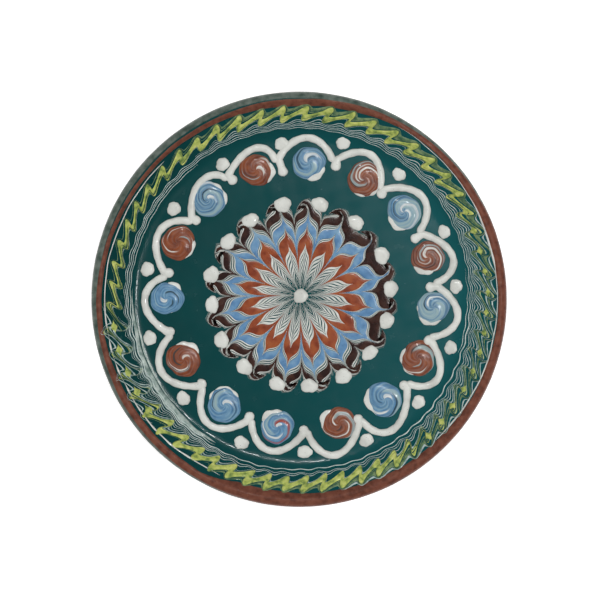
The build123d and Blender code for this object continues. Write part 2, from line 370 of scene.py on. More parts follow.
GREEN = green_ground()
OUTER = glazed_slip(
    "outer_green_slip", "green_slip", (0.045, 0.066, 0.055), (0.088, 0.115, 0.097), (0.14, 0.165, 0.145),
    260.0, roughness=(0.3, 0.45), clear=0.1, shine=0.25,
)
RIM = glazed_slip(
    "rim_brown_slip", "brown_slip", (0.100, 0.036, 0.024), (0.155, 0.055, 0.036), (0.19, 0.072, 0.046), 330.0,
    roughness=(0.32, 0.46), bump=0.12, clear=0.1, shine=0.25,
)


def clay_material():
    """Bare terracotta with a gritty grain and turning marks."""
    material, nodes, links = new_material("terracotta", "clay")
    body = ramp(
        nodes, links, noise(nodes, links, 90.0, 8.0),
        [(0.3, (0.24, 0.085, 0.045)), (0.5, (0.38, 0.15, 0.08)), (0.72, (0.46, 0.21, 0.12))],
    )
    grit = ramp(nodes, links, noise(nodes, links, 2600.0, 2.0), [(0.3, grey(1.0)), (0.36, grey(0.0))])
    shader = nodes["Principled BSDF"]
    links.new(mixed(nodes, links, grit, body, (0.12, 0.05, 0.03)), shader.inputs["Base Color"])
    shader.inputs["Roughness"].default_value = 0.78
    add_relief(nodes, links, 0.35, 0.0003, noise(nodes, links, 1500.0, 6.0))
    return material


CLAY = clay_material()


# ---- dish and coats

COLUMNS = 720
ROUND = np.linspace(0, TURN, COLUMNS, endpoint=False)


def revolve_piece(name, r, z, material, *nodes):
    """A closed solid of revolution from an outline that starts and ends on the axis."""
    turn = np.radians(ROUND)
    r, z = np.array(r[1:-1]), np.array(z[1:-1])
    level = np.outer(z, np.ones(COLUMNS))
    ring = np.stack([np.outer(r, np.cos(turn)), np.outer(r, np.sin(turn)), level], -1)
    rows = len(r)
    number = ringed(np.arange(rows * COLUMNS).reshape(rows, COLUMNS))
    faces = quads(number[:-1, :-1], number[:-1, 1:], number[1:, 1:], number[1:, :-1])
    first_end = rows * COLUMNS
    faces += fan(first_end, number[0], flip=True) + fan(first_end + 1, number[-1])
    ends = np.array([[0, 0, z[0]], [0, 0, z[-1]]])
    return piece(name, np.concatenate([ring.reshape(-1, 3), ends]), faces, material, *nodes)


def throwing_rings(r):
    """The turned ridges left on the underside."""
    return 0.07 * np.sin(r * 1.9) + 0.04 * np.sin(r * 4.3 + 1.0)


def foot_outline(low, high):
    """Half section of the underside's middle and the foot ring, from the axis outwards."""
    return [
        (0.0, high), (53.5, high), (54.2, high - 0.5), (54.6, 0.9), (55.3, low + 0.15), (56.0, low),
        (58.4, low), (59.1, low + 0.15), (59.9, 0.9), (60.6, high - 0.5), (61.3, high),
    ]


def clay_dish():
    """The thrown body: foot ring, turned underside, lip and the inside under the coat."""
    foot_high = FLOOR - COAT - (WALL - 2 * COAT)
    foot = foot_outline(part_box("clay_dish")[0].z / MM, foot_high)
    under = np.linspace(62.0, WELL_RADIUS, 60)
    lean = np.linspace(0, SLOPE, 12)
    bend = BEND_RADIUS + WALL - COAT
    bend_r = WELL_RADIUS + bend * np.sin(lean)
    bend_z = FLOOR - COAT + BEND_RADIUS + COAT - bend * np.cos(lean)
    inner_lip = LIP - COAT
    wall_start, wall_end = bend_r[-1], LIP_R + inner_lip * math.sin(SLOPE)
    wall_r = np.linspace(wall_start, wall_end, 30)[1:]
    wall_z = LIP_Z - inner_lip * math.cos(SLOPE) - (wall_end - wall_r) * math.tan(SLOPE)
    round_lip = np.linspace(SLOPE - math.pi / 2, SLOPE + math.pi / 2, 20)[1:]
    bend_end = along(WELL_RADIUS + BEND_RADIUS * math.sin(SLOPE))
    inside = [i for i in range(len(SKIN_R)) if SKIN_T[i] <= bend_end]
    r = np.concatenate([
        [p[0] for p in foot], under, bend_r[1:], wall_r, LIP_R + inner_lip * np.cos(round_lip),
        SKIN_R[inside[::-1]],
    ])
    z = np.concatenate([
        [p[1] for p in foot], foot_high + throwing_rings(under), bend_z[1:],
        wall_z + 0.6 * throwing_rings(wall_r), LIP_Z + inner_lip * np.sin(round_lip),
        SKIN_Z[inside[::-1]] - COAT,
    ])
    revolve_piece("clay_body", r, z, CLAY, "clay_dish")


def between(marks, angle):
    """A value that runs straight between (angle, value) marks round the full turn."""
    at = [m[0] for m in marks]
    value = [m[1] for m in marks]
    return np.interp(np.mod(angle, TURN), at, value, period=TURN)


def hand_wobble(angle, size, seed):
    """The small wander of a line trailed by hand."""
    waves = ((7, 0.5), (13, 0.8), (23, 0.6), (41, 0.4))
    turn = np.radians(angle)
    return size * sum(a * np.sin(k * turn + seed * (k + 1.7)) for k, a in waves) / 1.4


# By angle, the radius where the brown band starts, and how far past the top of the lip it ends
BAND_INNER = (
    (0, 100.2), (20, 99.6), (45, 100.6), (60, 100.2), (75, 98.4), (90, 97.4), (105, 97.7), (120, 98.3),
    (150, 98.8), (180, 99.7), (210, 99.3), (225, 99.7), (240, 100.0), (246, 98.8), (252, 96.6), (262, 97.0),
    (270, 97.7), (300, 98.6), (315, 99.2), (330, 99.9), (345, 100.2),
)
BAND_OUTER = (
    (0, 4.8), (20, 4.2), (30, 3.0), (45, 2.1), (60, 1.3), (90, -0.5), (105, -0.7), (120, -1.2), (150, -0.8),
    (180, 0.6), (200, 1.2), (225, 2.0), (240, 2.6), (262, 4.3), (300, 5.2), (340, 5.0),
)


BAND_ROWS = 24
BAND_EDGE = -0.1  # the band thins to this height at its edges, just above the green coats
BAND_SUNK = 0.3
THIN = -0.12  # the green coats lie this much under the skin at the lip, so the band stays in the dish's size
THIN_FROM = 97.0  # radius past which the inner coat lies so
LIP_TOP = float(along(LIP_R))


def coat_strip(distances, heights):
    """A coat all round the dish, with rows at distances along the skin."""
    t = distances[:, None] * np.ones(COLUMNS)
    top = on_skin(ROUND, t, heights[:, None] * np.ones(COLUMNS))
    base = on_skin(ROUND, t[[0, -1]], np.full((2, COLUMNS), -COAT))
    return top, base, True


def green_coat():
    """The coat inside the dish, closed over the middle and open where it lies on the clay."""
    distances = np.concatenate([
        np.linspace(2.0, along(WELL_RADIUS) - 1, 40), np.linspace(along(WELL_RADIUS), LIP_TOP, 60),
    ])
    points, faces = slab_parts(*coat_strip(distances, np.where(distances > along(THIN_FROM), THIN, 0.0)))
    middle = len(points)
    faces = [face for face in faces if min(face) < middle - 2 * COLUMNS]
    faces += fan(middle, np.append(np.arange(COLUMNS), 0))
    piece("green_coat", np.concatenate([points, [[0, 0, FLOOR]]]), faces, GREEN, "green_slip_coat")


def rim_band():
    """The brown band over the lip."""
    start = along(between(BAND_INNER, ROUND) + hand_wobble(ROUND, 0.16, 1.0))
    end = LIP_TOP + between(BAND_OUTER, ROUND) + hand_wobble(ROUND, 0.12, 2.0)
    share = np.linspace(0, 1, BAND_ROWS)[:, None]
    t = start + (end - start) * share
    top = on_skin(ROUND, t, BAND_EDGE * np.abs(2 * share - 1) ** 6 * np.ones_like(t))
    base = on_skin(ROUND, t[[0, -1]], np.full((2, COLUMNS), -BAND_SUNK))
    strips_piece("rim_band", [(top, base, True)], RIM, "brown_rim_band")


def coats():
    """The green coat inside, the coat outside, and the brown band over the lip between them."""
    green_coat()
    outer = coat_strip(np.linspace(LIP_TOP - 0.2, SKIN_T[-1], 30), np.full(30, THIN))
    strips_piece("outer_coat", [outer], OUTER, "outer_green_coat")
    rim_band()


# ---- feathered rosette

# One outward stroke of the tine, then one inward, all the way round
TIPS = (
    13.0, 36.5, 60.5, 84.5, 103.0, 126.0, 148.0, 169.5, 192.5, 213.5, 237.0, 259.0, 280.0, 303.0, 327.5,
    350.5,
)
NOTCHES = (
    27.5, 50.5, 74.5, 95.0, 117.0, 139.0, 161.5, 180.0, 204.0, 228.0, 249.0, 271.0, 293.5, 317.0, 341.0,
    364.0,
)
CENTRE_HOLD = 2.0  # within about this radius the strokes have less slip to move
HAIRPINS_FROM = 38.0  # rings that stay inside this radius are out of reach of the tine's turns
# The tine's turn outside the rosette: degrees on from its outward ray, and radius
HAIRPIN = ((0.0, 43.5), (0.4, 46.0), (1.8, 47.9), (4.3, 48.9), (7.0, 48.4), (9.4, 46.8), (11.4, 44.6))


def ease(value):
    value = np.clip(value, 0, 1)
    return value * value * (3 - 2 * value)


def left_share(angle):
    """0 on the rosette's right, where fewer lines were trailed, and 1 elsewhere."""
    return ease((np.abs(np.mod(angle - 12 + TURN / 2, TURN) - TURN / 2) - 30) / 35)


# How the slip beside a stroke follows it: shares of the whole, and how far each reaches
OUT_FOLLOW = ((0.34, 0.35), (0.46, 1.25), (0.20, 3.4))
IN_FOLLOW = ((0.50, 0.45), (0.34, 1.5), (0.16, 3.4))


def stroke_falloff(distance, shares):
    """How much of the tine's move the slip at a distance beside it follows."""
    return sum(share * np.exp(-distance / reach) for share, reach in shares)


def radial_stroke(x, y, angle, move, rounding, strength, shares):
    """Slip moved along a ray by a tine. Near the edge its pull may be rounder."""
    c, s = math.cos(math.radians(angle)), math.sin(math.radians(angle))
    run = x * c + y * s
    side = np.abs(y * c - x * s)
    soft = rounding * ease((run - 40.5) / 4.0)
    follow = (1 - soft) * stroke_falloff(side, shares) + soft * np.exp(-((side / 2.6) ** 2))
    pull = strength * move(run) * follow * np.clip(run, 0, None) / (np.abs(run) + CENTRE_HOLD)
    return x + c * pull, y + s * pull


OUT_PULL = 5.6  # how far the outward stroke carries slip at its strongest
IN_PULL = 15.0  # the same for the inward stroke
IN_PULL_LOSS = 6.5  # how much less it carries slip that lies near the rosette's edge


def out_move(run):
    """How far the outward stroke carries slip that lies at a radius."""
    return OUT_PULL * (1 - 0.45 * ease((run - 40) / 5.0)) * (0.85 + 0.15 * ease((run - 22) / 8.0))


def in_move(hold):
    """The same for the inward stroke. The edge is held back by a share."""
    def move(run):
        carried = (IN_PULL - IN_PULL_LOSS * ease((run - 32) / 9.0)) * (1 - hold * ease((run - 39.5) / 5.0))
        return -np.minimum(carried, 0.9 * np.abs(run))
    return move


def hairpin(tip, notch):
    """Points on the tine's turn from one ray to the next."""
    at = np.linspace(0, len(HAIRPIN) - 1, 40)
    grow = (notch - tip) / 14.0
    angle = np.interp(at, range(len(HAIRPIN)), [tip + a * grow for a, _ in HAIRPIN])
    radius = np.interp(at, range(len(HAIRPIN)), [r for _, r in HAIRPIN])
    return radius * np.cos(np.radians(angle)), radius * np.sin(np.radians(angle))


def turn_stroke(x, y, path_x, path_y):
    """Slip carried along a bent path, which rolls it into a hook."""
    reach, grip = 1.9, 0.85
    for px, py, dx, dy in zip(path_x, path_y, np.diff(path_x), np.diff(path_y)):
        near = grip * np.exp(-((x - px) ** 2 + (y - py) ** 2) / reach**2)
        x, y = x + dx * near, y + dy * near
    return x, y


def feather(x, y):
    """The whole row of strokes, drawn through the rosette."""
    for k, tip in enumerate(TIPS):
        x, y = radial_stroke(x, y, tip, out_move, 0.6, 1 + 0.14 * math.sin(2.3 * k + 0.6), OUT_FOLLOW)
    if np.hypot(x, y).max() > HAIRPINS_FROM:
        for tip, notch in zip(TIPS, NOTCHES):
            x, y = turn_stroke(x, y, *hairpin(tip, notch))
    for k, notch in enumerate(NOTCHES):
        held = in_move(0.80 - 0.78 * float(left_share(notch)))
        x, y = radial_stroke(x, y, notch, held, 0.0, 0.92 + 0.08 * math.sin(1.9 * k), IN_FOLLOW)
    return x, y


def stroke_columns(strokes, count):
    """Angles that crowd together at the strokes."""
    eased = 0.5 * (1 - np.cos(np.linspace(0, math.pi, count, endpoint=False)))
    following = [*strokes[1:], strokes[0] + TURN]
    return np.concatenate([a + (b - a) * eased for a, b in zip(strokes, following)])


ROSETTE_COLUMNS = stroke_columns(sorted([*TIPS, *np.mod(NOTCHES, TURN)]), 26)

# Trailed rings from the middle outwards: slip, width on the right, and width elsewhere.
# Gaps show the green coat.
ROSETTE_RINGS = (
    ("gap", 5.6, 5.6), ("white", 0.5, 0.5), ("gap", 2.6, 2.6), ("white", 0.8, 0.8), ("gap", 2.3, 2.3),
    ("white", 1.2, 1.2), ("gap", 1.1, 1.1), ("white", 1.9, 1.9), ("gap", 1.0, 1.0), ("white", 1.5, 1.5),
    ("gap", 0.85, 0.85), ("white", 1.6, 1.6), ("gap", 0.6, 0.6), ("white", 1.65, 1.65),
    ("rust", 8.0, 7.2),
    ("white", 0.65, 0.55), ("gap", 0.25, 0.5), ("white", 0.25, 0.6), ("gap", 0.1, 0.2),
    ("blue", 5.6, 4.4),
    ("white", 0.45, 0.6), ("gap", 0.25, 0.55), ("white", 0.3, 0.65), ("gap", 0.1, 0.5), ("white", 0.05, 0.35),
    ("brown", 5.6, 4.2),
    ("white", 0.15, 0.7), ("gap", 0.1, 0.5), ("white", 0.1, 0.7), ("brown", 0.5, 0.6),
    ("haze", 0.35, 0.35), ("gap", 0.3, 0.3), ("haze", 0.25, 0.25),
)
ROSETTE_SLIPS = {
    "white": ("rosette_white_lines", WHITE, ("rosette_white_slip",)),
    "rust": ("rosette_rust_feathers", RUST, ("rosette_rust_slip",)),
    "blue": ("rosette_blue_feathers", BLUE, ("rosette_blue_slip",)),
    "brown": ("rosette_brown_lobes", BROWN, ("rosette_brown_slip",)),
    "haze": ("rosette_fringe_lines", HAZE, ("rosette_fringe",)),
}


def ring_wander(angle):
    """How far the trailed rings lie from true circles."""
    turn = np.radians(angle)
    return 0.35 * np.sin(3 * turn + 1.0) + 0.25 * np.sin(5 * turn + 1.9)


def feathered_strip(inner, outer, rows, height):
    """A trailed ring between two radii, drawn out by the strokes."""
    share = np.linspace(0, 1, rows)[:, None]
    r = inner + (outer - inner) * share + ring_wander(ROSETTE_COLUMNS)
    turn = np.radians(ROSETTE_COLUMNS)
    x, y = feather(r * np.cos(turn), r * np.sin(turn))
    width = np.hypot(x[-1] - x[0], y[-1] - y[0])
    rise = np.minimum(height, 0.3 * width) * (1 - np.abs(2 * share - 1) ** 4) + 0.015
    x, y = x + PATTERN_X, y + PATTERN_Y
    return drape(x, y, rise), drape(x[[0, -1]], y[[0, -1]], -0.2 * np.ones((2, 1))), True


def rosette():
    strips = {slip: [] for slip in ROSETTE_SLIPS}
    left = left_share(ROSETTE_COLUMNS)
    inner = np.zeros(len(ROSETTE_COLUMNS))
    for slip, right_width, other_width in ROSETTE_RINGS:
        outer = inner + right_width + (other_width - right_width) * left
        if slip != "gap":
            broad = right_width > 2
            strips[slip].append(feathered_strip(inner, outer, 12 if broad else 4, 0.14 if broad else 0.10))
        inner = outer
    for slip, (name, material, nodes) in ROSETTE_SLIPS.items():
        strips_piece(name, strips[slip], material, *nodes)


# ---- dots

DOT_COLUMNS = 56
DOT_RINGS = 14
DENT = 0.12  # how deep the trailer's dent is
BORDER_DOTS = 15


def blob(centre_x, centre_y, across, wide, high, lean, seed):
    """A dropped blob of slip, with a lumpy outline, a full edge and a dent where the trailer lifted off."""
    turn = np.linspace(0, 2 * math.pi, DOT_COLUMNS, endpoint=False)
    share = np.sin(np.linspace(0.06, 1, DOT_RINGS) * math.pi / 2)[:, None]
    lumps = 1 + 0.045 * np.sin(3 * turn + seed) + 0.035 * np.sin(5 * turn + 2.3 * seed)
    lumps += 0.025 * np.sin(2 * turn + 4.1 * seed) + 0.02 * np.sin(9 * turn + seed)
    u = share * lumps * np.cos(turn) * across
    v = share * lumps * np.sin(turn) * wide
    c, s = math.cos(math.radians(lean)), math.sin(math.radians(lean))
    x, y = centre_x + u * c - v * s, centre_y + u * s + v * c
    at_u, at_v = 0.25 * across * math.cos(seed * 3), 0.25 * wide * math.sin(seed * 3)
    pit = np.exp(-((u - at_u) ** 2 + (v - at_v) ** 2) / (0.18 * across * wide))
    height = high * np.sqrt(np.maximum(1 - share**2.6, 0)) - DENT * pit
    return dome_parts(x, y, height)


def box_middle(node):
    """Centre of a CAD node in the plan, and half its mean width."""
    low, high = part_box(node)
    middle = (low + high) / 2 / MM
    return middle.x, middle.y, (high.x - low.x + high.y - low.y) / 4 / MM


def border_dots():
    for k in range(1, BORDER_DOTS + 1):
        node = f"border_dot_{k:02d}"
        x, y, half = box_middle(node)
        heading = math.degrees(math.atan2(y, x))
        made = blob(x, y, 0.96 * half, 1.1 * half, 1.25, heading, k * 1.37)
        joined_piece(f"border_drop_{k:02d}", [made], WHITE, node)


# Each drop's angle and radius about the pattern's middle
ROSETTE_DOTS = (
    (4.5, 46.0), (26.5, 46.2), (53.0, 46.8), (78.0, 47.6), (101.0, 47.3), (123.5, 46.2), (143.0, 46.0),
    (166.5, 46.6), (185.5, 45.2), (209.0, 46.0), (231.5, 46.0), (255.0, 46.3), (275.5, 46.0), (298.0, 46.3),
    (320.5, 45.6), (344.0, 45.6),
)


def rosette_dots():
    made = []
    for k, (angle, radius) in enumerate(ROSETTE_DOTS):
        turn = math.radians(angle)
        x, y = PATTERN_X + radius * math.cos(turn), PATTERN_Y + radius * math.sin(turn)
        made.append(blob(x, y, 3.6 + 0.25 * math.sin(k * 2.1), 4.4, 1.2, angle - 10, k * 0.83 + 0.4))
    joined_piece("rosette_drops", made, WHITE, "rosette_dots")
    middle = blob(PATTERN_X, PATTERN_Y, 3.5, 3.8, 1.1, 120.0, 2.2)
    joined_piece("rosette_middle_drop", [middle], WHITE, "rosette_centre_dot")


# ---- scallops

# Angle and radius of each valley, of the scallop's peak after it, and of the tail's end at the valley
VALLEYS = (
    (5.2, 70.6), (27.8, 71.0), (52.2, 70.6), (74.8, 73.4), (98.3, 72.0), (119.8, 72.2), (142.8, 68.2),
    (168.8, 69.5), (194.0, 68.4), (221.0, 67.2), (247.0, 67.2), (272.0, 68.2), (296.0, 70.2), (320.8, 71.0),
    (342.3, 70.6),
)
PEAKS = (
    (15.0, 81.2), (39.6, 81.5), (64.2, 81.9), (86.8, 82.1), (106.5, 79.8), (128.5, 77.8), (155.0, 78.8),
    (180.5, 78.4), (207.5, 79.0), (234.5, 78.4), (259.5, 78.6), (283.5, 81.6), (306.0, 82.0), (330.5, 81.5),
    (353.5, 81.4),
)
TAILS = (
    (5.2, 64.6), (27.4, 64.2), (51.6, 65.5), (74.4, 67.6), (96.8, 62.8), (118.6, 66.8), (142.2, 63.4),
    (168.2, 64.8), (194.3, 65.0), (220.8, 63.0), (247.3, 62.2), (272.2, 64.2), (296.3, 65.6), (320.3, 66.7),
    (342.2, 66.7),
)
STROKE_HALF = 1.85
STROKE_HIGH = 1.25
TAIL_SWELL = 0.75  # how much wider the tail's end is to each side
SMOOTHINGS = 2
HUMP_ON = 1.2  # degrees past its valley where a hump starts
HUMP_IN = 1.8  # and how far inwards of the valley


def polar_point(angle, radius):
    """A point about the dish's axis."""
    turn = np.radians(angle)
    return np.stack([radius * np.cos(turn), radius * np.sin(turn)], -1)


def arch(start, peak, end, count=56):
    """Angles and radii of a hump from one valley over a peak to the next."""
    share = np.linspace(0, 1, count)
    top = (peak[0] - start[0]) / (end[0] - start[0])
    skew = math.log(0.5) / math.log(top)
    lifted = 1 - np.abs(2 * share**skew - 1) ** 1.95
    floor = start[1] + (end[1] - start[1]) * share
    return start[0] + (end[0] - start[0]) * share, floor + (peak[1] - floor) * lifted


def smoothed(path):
    """A path with its corners eased, ends kept."""
    for _ in range(SMOOTHINGS):
        inner = (path[:-2] + 2 * path[1:-1] + path[2:]) / 4
        path = np.concatenate([path[:1], inner, path[-1:]])
    return path


def even_path(path, step):
    """The same path at even steps."""
    run = np.concatenate([[0], np.cumsum(np.hypot(*np.diff(path, axis=0).T))])
    at = np.linspace(0, run[-1], max(int(run[-1] / step), 8))
    return np.stack([np.interp(at, run, path[:, 0]), np.interp(at, run, path[:, 1])], -1), at


def scallop_stroke(node, path, seed):
    """A trailed stroke along a path, with round ends, an uneven width and a drop at its tail."""
    path, run = even_path(path, 0.5)
    tangent = np.gradient(path, axis=0)
    tangent /= np.hypot(*tangent.T)[:, None]
    normal = np.stack([-tangent[:, 1], tangent[:, 0]], -1)
    length = run[-1]
    width = STROKE_HALF * (1 + 0.05 * np.sin(run * 0.55 + seed) + 0.04 * np.sin(run * 1.3 + 2 * seed))
    width += TAIL_SWELL * np.exp(-(((length - run - STROKE_HALF) / (1.5 * STROKE_HALF)) ** 2))
    reach = np.minimum(run, length - run) / (STROKE_HALF + TAIL_SWELL)
    width *= np.sqrt(np.clip(1 - (1 - np.minimum(reach, 1)) ** 2, 0.0005, 1))
    across = np.sin(np.linspace(-1, 1, 15) * math.pi / 2)[:, None]
    x = path[:, 0] - normal[:, 0] * across * width
    y = path[:, 1] - normal[:, 1] * across * width
    round_top = np.sqrt(np.maximum(1 - across**2, 0))
    rise = STROKE_HIGH * round_top * np.minimum(1, 0.25 + 0.75 * width / STROKE_HALF)
    top = drape(x, y, rise)
    base = drape(x[[0, -1]], y[[0, -1]], -0.3 * np.ones((2, 1)))
    strips_piece(f"{node}_stroke", [(top, base, False)], WHITE, node)


def mark_after(marks, k):
    """The mark after one of them round the dish, carried past the full turn."""
    after = (k + 1) % len(marks)
    angle, radius = marks[after]
    return angle + (0 if after else TURN), radius


def scallops():
    for k, (start, peak) in enumerate(zip(VALLEYS, PEAKS)):
        end, tail = mark_after(VALLEYS, k), mark_after(TAILS, k)
        hump = polar_point(*arch((start[0] + HUMP_ON, start[1] - HUMP_IN), peak, end))
        drop = polar_point(np.linspace(end[0], tail[0], 12)[1:], np.linspace(end[1], tail[1], 12)[1:])
        scallop_stroke(f"scallop_{k + 1:02d}", smoothed(np.concatenate([hump, drop])), k * 1.9)


# ---- bosses

BOSS_COLUMNS = 220
BOSS_RINGS = 60
BOSS_HIGH = 1.5
UNDER_OFFSET = 1.3  # how far the white under a boss lies off its middle where 1.0 of it shows
# For each boss: slip, the angle where the white under it shows, how much shows, how far the tine turned it,
# how strong its fine streaks are, and the bands swirled into it. For each band: slip, angle at the rim, half
# width in degrees, and inner and outer radius as shares of the boss's.
BOSSES = (
    ("rust", 245, 1.0, 330, 0.35, (
        ("white", 250, 20, 0.05, 1.0), ("pale", 325, 17, 0.3, 0.95), ("dark", 120, 8, 0.2, 0.9),
        ("white", 30, 7, 0.1, 0.6),
    )),
    ("blue", 250, 1.1, 300, 1.0, (
        ("pale", 180, 62, 0.2, 0.95), ("pale", 310, 46, 0.3, 1.0), ("white", 250, 18, 0.0, 1.0),
        ("dark", 40, 7, 0.3, 0.9), ("white", 120, 20, 0.0, 0.4),
    )),
    ("rust", 285, 0.9, 320, 0.3, (
        ("white", 283, 12, 0.1, 1.0), ("pale", 45, 18, 0.25, 1.0), ("dark", 72, 7, 0.3, 0.95),
        ("white", 335, 10, 0.3, 0.85),
    )),
    ("blue", 300, 1.3, 260, 0.8, (
        ("dark", 60, 16, 0.45, 0.9), ("pale", 150, 26, 0.2, 0.9), ("white", 290, 22, 0.1, 0.7),
        ("dark", 250, 9, 0.2, 0.5),
    )),
    ("rust", 355, 1.4, 240, 0.2, (
        ("white", 350, 16, 0.82, 1.0), ("pale", 130, 6, 0.4, 0.8), ("white", 200, 20, 0.05, 0.5),
        ("dark", 90, 10, 0.3, 0.7),
    )),
    ("blue", 30, 0.9, 380, 1.0, (
        ("white", 20, 34, 0.86, 1.0), ("pale", 190, 36, 0.2, 0.95), ("dark", 250, 12, 0.2, 0.7),
        ("white", 90, 40, 0.0, 0.3),
    )),
    ("rust", 310, 0.7, 260, 0.15, (
        ("white", 110, 7, 0.5, 0.9), ("white", 300, 8, 0.84, 1.0), ("white", 30, 4, 0.7, 0.92),
        ("pale", 250, 7, 0.3, 0.7),
    )),
    ("blue", 45, 0.8, 340, 0.5, (
        ("pale", 60, 6, 0.5, 0.9), ("dark", 200, 14, 0.3, 0.7), ("white", 300, 26, 0.0, 0.36),
        ("dark", 90, 12, 0.3, 0.6),
    )),
    ("rust", 65, 1.2, 280, 0.2, (
        ("white", 120, 9, 0.42, 0.8), ("dark", 20, 16, 0.3, 0.75), ("white", 200, 20, 0.0, 0.4),
        ("pale", 150, 6, 0.4, 0.9),
    )),
    ("blue", 90, 1.2, 300, 0.6, (
        ("dark", 40, 12, 0.5, 0.9), ("pale", 10, 30, 0.3, 0.8), ("white", 190, 26, 0.05, 0.45),
        ("dark", 215, 8, 0.5, 0.85),
    )),
    ("blue", 115, 1.2, 330, 0.5, (
        ("white", 95, 16, 0.5, 1.0), ("rust", 215, 26, 0.12, 1.0), ("pale", 20, 26, 0.4, 0.95),
        ("white", 160, 40, 0.0, 0.25), ("pale", 250, 8, 0.3, 0.9),
    )),
    ("rust", 165, 1.4, 280, 0.25, (
        ("pale", 290, 26, 0.4, 1.0), ("white", 190, 10, 0.4, 0.95), ("white", 330, 8, 0.2, 0.7),
        ("dark", 60, 12, 0.1, 0.45),
    )),
    ("blue", 190, 1.4, 240, 0.7, (
        ("white", 180, 14, 0.62, 1.0), ("dark", 265, 14, 0.55, 0.95), ("pale", 300, 22, 0.4, 1.0),
        ("white", 220, 30, 0.05, 0.4), ("dark", 20, 9, 0.2, 0.5),
    )),
    ("rust", 205, 0.9, 260, 0.25, (
        ("pale", 315, 34, 0.5, 1.0), ("white", 190, 8, 0.7, 1.0), ("dark", 350, 8, 0.5, 0.9),
        ("pale", 100, 8, 0.1, 0.5),
    )),
    ("blue", 240, 1.4, 260, 1.0, (
        ("pale", 90, 56, 0.1, 1.0), ("pale", 210, 34, 0.3, 1.0), ("white", 330, 12, 0.3, 0.8),
        ("dark", 20, 8, 0.3, 0.8),
    )),
)
SWIRL_SLIPS = ("white", "pale", "dark", "rust", "blue")


def unwound(u, v, turn, seed):
    """Each point's angle before the tine swirled the blob round. u and v run over the unit disc."""
    radius = np.hypot(u, v)
    uneven = 14 * np.sin(2 * np.arctan2(v, u) + seed) * radius + 8 * np.sin(7 * radius + seed)
    return np.degrees(np.arctan2(v, u)) - turn * np.clip(1 - radius, 0, 1) ** 0.72 + uneven


def band_share(angle, radius, middle, half, inner, outer):
    """How much of each point lies in a swirled band of slip."""
    off = np.abs(np.mod(angle - middle + 180, TURN) - 180)
    ends = np.minimum(ease((radius - inner + 0.08) / 0.16), 1 - ease((radius - outer) / 0.08))
    width = half * (0.55 + 0.45 * np.sin(math.pi * np.clip((radius - inner) / (outer - inner), 0, 1)))
    soft = 2.5 + 3.0 / np.maximum(radius, 0.15)
    return ease(0.5 + (1.25 * width - off) / soft) * ends


def streaked_share(angle, radius, seed):
    """Fine streaks along the swirl."""
    turn = np.radians(angle)
    waves = ((5, 3.0, 0.8), (8, -5.0, 0.7), (13, 7.0, 0.6), (21, -4.0, 0.45), (34, 6.0, 0.3))
    total = sum(size * np.sin(k * turn + slip * radius + seed * (k + 1)) for k, slip, size in waves)
    return ease(0.5 + 0.42 * total)


def own_colour(nodes, links, name):
    """The three parts of a colour that a mesh's points carry."""
    attribute = nodes.new("ShaderNodeAttribute")
    attribute.attribute_name = name
    parts = nodes.new("ShaderNodeSeparateColor")
    links.new(attribute.outputs["Color"], parts.inputs["Color"])
    return parts.outputs


def swirl_material(name, slot, body_stops):
    """Swirled slips. The mesh's own swirl colours say which slip lies where."""
    material, nodes, links = new_material(name, slot)
    body = ramp(nodes, links, noise(nodes, links, 260.0, 6.0), body_stops)
    swirl = own_colour(nodes, links, "swirl")
    patch = own_colour(nodes, links, "patch")
    layers = (
        (swirl["Green"], (0.30, 0.41, 0.42)), (swirl["Blue"], (0.030, 0.050, 0.055)),
        (patch["Red"], (0.30, 0.052, 0.022)), (patch["Green"], (0.11, 0.29, 0.62)),
        (swirl["Red"], (0.66, 0.67, 0.63)),
    )
    colour = body
    for share, slip_colour in layers:
        colour = mixed(nodes, links, share, colour, slip_colour)
    finish_glaze(nodes, links, colour, bump=0.1)
    return material


SWIRLS = {
    "rust": swirl_material(
        "swirled_rust_slip", "rust_slip",
        [(0.3, (0.14, 0.030, 0.012)), (0.5, (0.23, 0.055, 0.019)), (0.72, (0.29, 0.078, 0.024))],
    ),
    "blue": swirl_material(
        "swirled_blue_slip", "blue_slip",
        [(0.3, (0.07, 0.19, 0.36)), (0.5, (0.105, 0.26, 0.46)), (0.72, (0.18, 0.35, 0.50))],
    ),
}


def add_colour(made, name, *shares):
    """Up to three shares as a colour on a mesh's first points. The points after them have none."""
    values = np.zeros((len(made.data.vertices), 4))
    values[:, 3] = 1.0
    for channel, share in enumerate(shares):
        values[: share.size, channel] = share.ravel()
    layer = made.data.color_attributes.new(name, "FLOAT_COLOR", "POINT")
    layer.data.foreach_set("color", values.astype(np.float32).ravel())


def boss_colours(u, v, turn, streaks, bands, seed):
    """How much of each slip shows at each point of the swirled blob."""
    radius = np.hypot(u, v)
    angle = unwound(u, v, turn, seed)
    shares = {name: np.zeros(u.shape) for name in SWIRL_SLIPS}
    shares["pale"] = 0.62 * streaks * streaked_share(angle, radius, seed)
    shares["dark"] = (0.12 + 0.34 * streaks) * (1 - streaked_share(angle, radius, seed + 2.0))
    for slip, middle, half, inner, outer in bands:
        band = band_share(angle, radius, middle, half, inner, outer)
        streaky = 0.62 + 0.38 * streaked_share(angle, radius, seed + middle)
        for name in SWIRL_SLIPS:
            if name == slip:
                shares[name] = np.maximum(shares[name], band * streaky)
            else:
                shares[name] = shares[name] * (1 - 0.85 * band)
    return shares, angle


